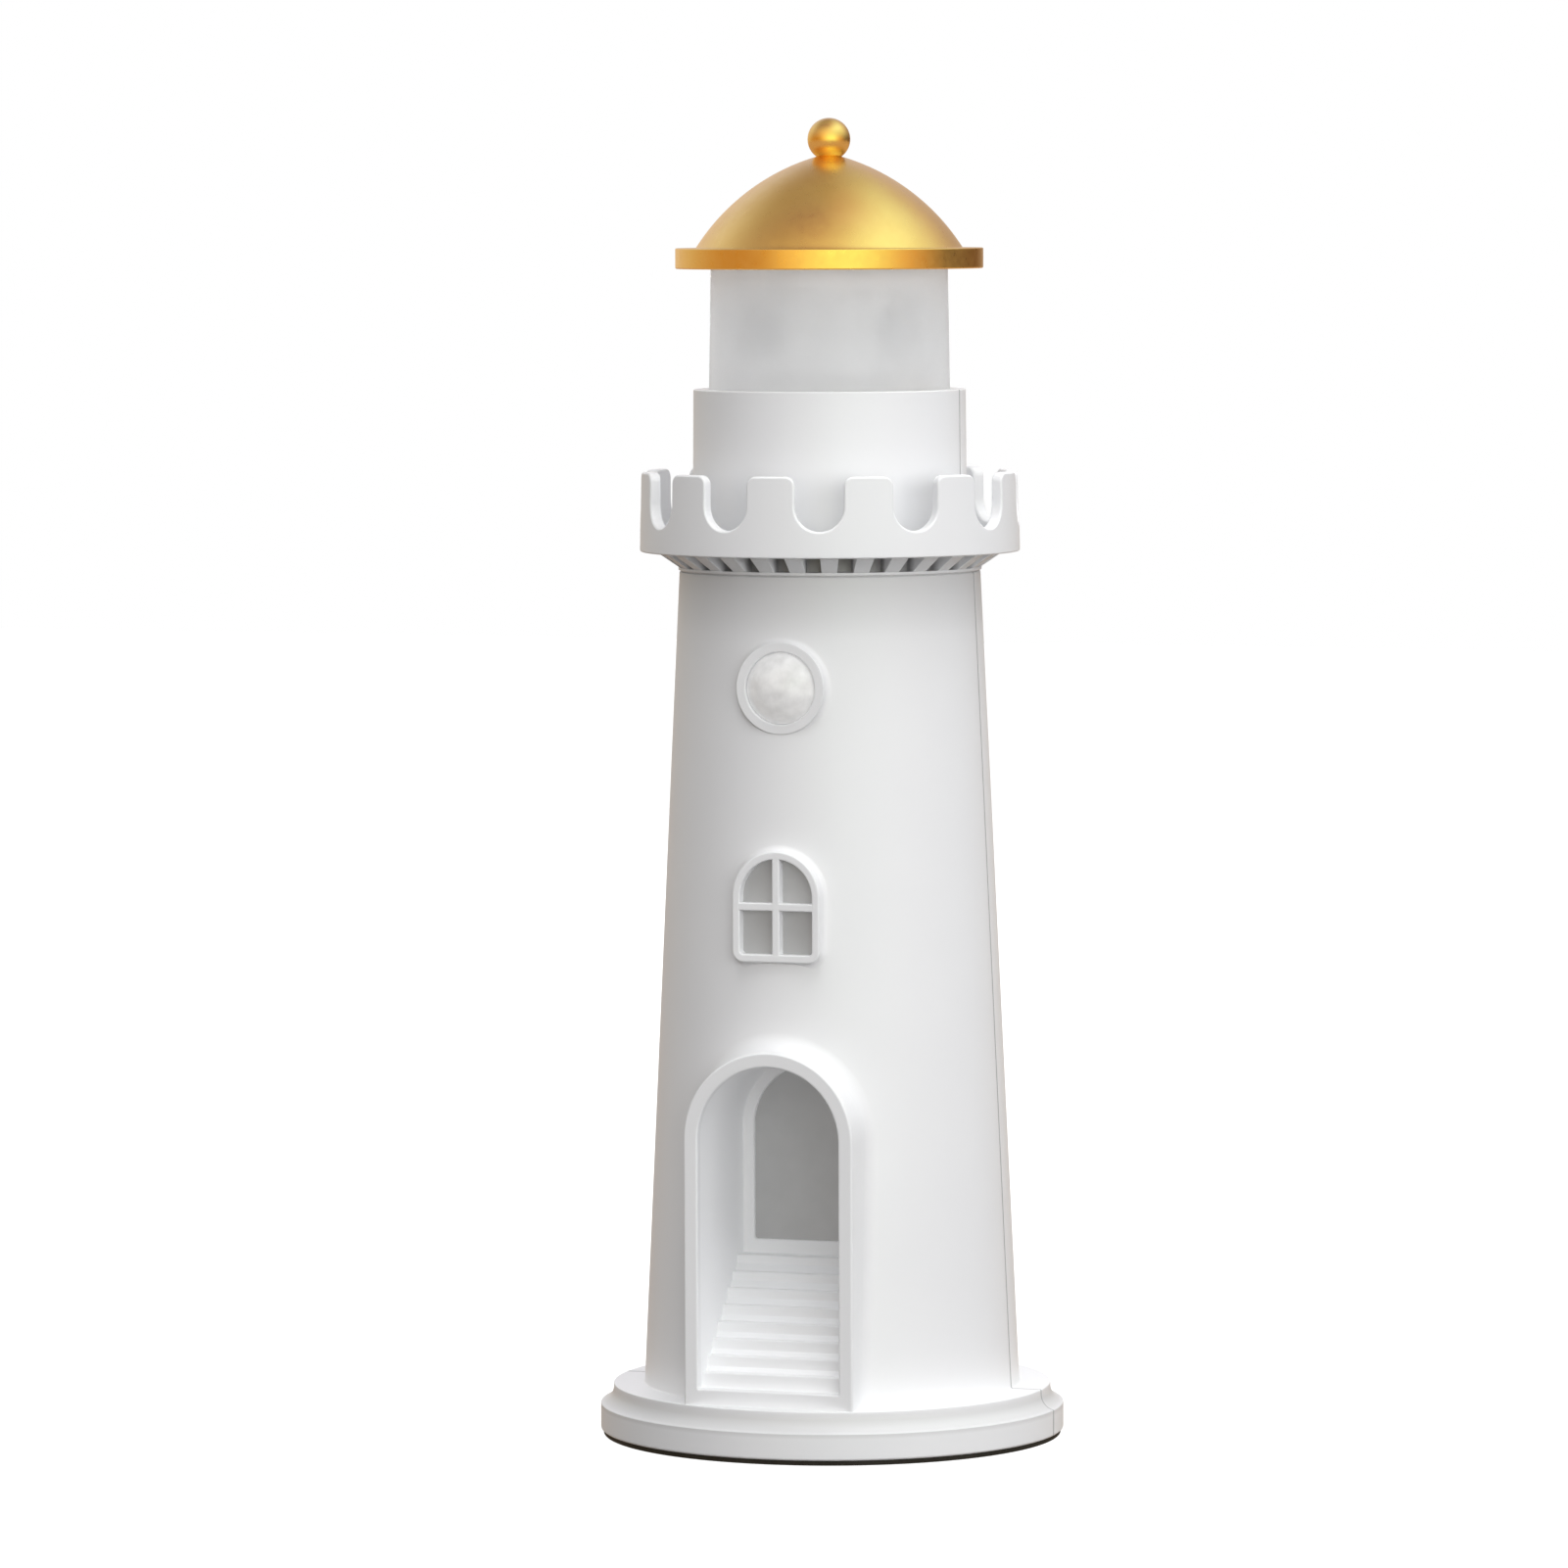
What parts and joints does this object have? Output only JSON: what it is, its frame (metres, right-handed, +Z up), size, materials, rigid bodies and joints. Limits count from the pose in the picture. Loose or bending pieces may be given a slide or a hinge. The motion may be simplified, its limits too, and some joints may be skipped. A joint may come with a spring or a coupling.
{
  "type": "lighthouse projection lamp",
  "caption": "Lighthouse-shaped projection lamp: white tower with stair alcove, window, motion sensor and battlement gallery, frosted lantern with turning lens drum, gold dome cap.",
  "frame": {"origin": "centre of the underside of the rubber pad, on the surface that the lamp stands on", "axes": "+Z up along the tower's axis, -Y out of the doorway, +X to the right of someone who faces the doorway"},
  "size_m": [0.1, 0.1, 0.2833],
  "materials": {
    "white_shell": "fine satin moulded white",
    "inner_plastic": "plain moulded white",
    "dark_plastic": "plain moulded black",
    "black_rubber": "matt foam rubber",
    "steel": "zinc-plated",
    "nickel": "drawn and nickel-plated",
    "post_metal": "turned",
    "grey_pane": "frosted grey translucent",
    "milky_lens": "milky moulded polythene",
    "frosted_lantern": "frosted translucent",
    "clear_lens": "clear moulded acrylic",
    "circuit_board": "green solder mask",
    "light_board": "white solder mask on aluminium",
    "led_package": "yellow phosphor gel",
    "cell_wrap": "heat-shrunk sleeve",
    "pinion_brass": "hobbed",
    "wire_sleeve": "smooth sleeve",
    "gold_finish": "satin gold"
  },
  "bodies": {
    "housing": {"front_shell": "white_shell", "rear_shell": "white_shell", "base_plate": "inner_plastic", "rubber_pad": "black_rubber", "ballast_weight": "steel", "base_screws": "steel", "gallery_ring": "white_shell", "corbel_ring": "white_shell", "stair_alcove": "white_shell", "door_pane": "grey_pane", "window_pane": "grey_pane", "door_light_board": "circuit_board", "door_leds": "led_package", "window_light_board": "circuit_board", "window_leds": "led_package", "pir_lens": "milky_lens", "pir_sensor": "nickel", "pir_board": "circuit_board", "board_screws": "steel", "battery_cell": "cell_wrap", "battery_cradle": "dark_plastic", "main_board": "circuit_board", "board_parts": "dark_plastic", "usb_port": "nickel", "button_switch": "dark_plastic", "slide_switch": "nickel", "lantern_diffuser": "frosted_lantern", "chassis_deck": "inner_plastic", "deck_screws": "steel", "led_post": "post_metal", "led_board": "light_board", "beam_led": "led_package", "rotor_washer": "inner_plastic", "gear_motor": "nickel", "driver_board": "circuit_board", "wire_harness": "wire_sleeve", "cap": "gold_finish", "cap_liner": "inner_plastic", "finial": "gold_finish", "finial_nut": "steel"},
    "rotor": {"beam_rotor": "inner_plastic", "beam_lenses": "clear_lens"},
    "pinion": {"motor_pinion": "pinion_brass", "motor_shaft": "steel"},
    "button": {"power_button": "white_shell", "button_plunger": "dark_plastic"},
    "slider": {"mode_slider": "white_shell"}
  },
  "joints": [
    {"name": "rotor_spin", "type": "hinge", "parent": "housing", "child": "rotor", "pos_m": [0, 0, 0.23], "axis": [0, 0, 1], "continuous": true},
    {"name": "pinion_spin", "type": "hinge", "parent": "housing", "child": "pinion", "pos_m": [0.01875, 0, 0.225], "axis": [0, 0, 1], "continuous": true},
    {"name": "button_press", "type": "slide", "parent": "housing", "child": "button", "axis": [0, -1, 0], "range_m": [0, 0.0008], "stiffness_N_per_m": 800, "springref_m": -0.0006},
    {"name": "mode_slide", "type": "slide", "parent": "housing", "child": "slider", "axis": [1, 0, 0], "range_m": [0, 0.004]}
  ],
  "couplings": [
    {"joint": "pinion_spin", "follows": "rotor_spin", "ratio": -4}
  ]
}
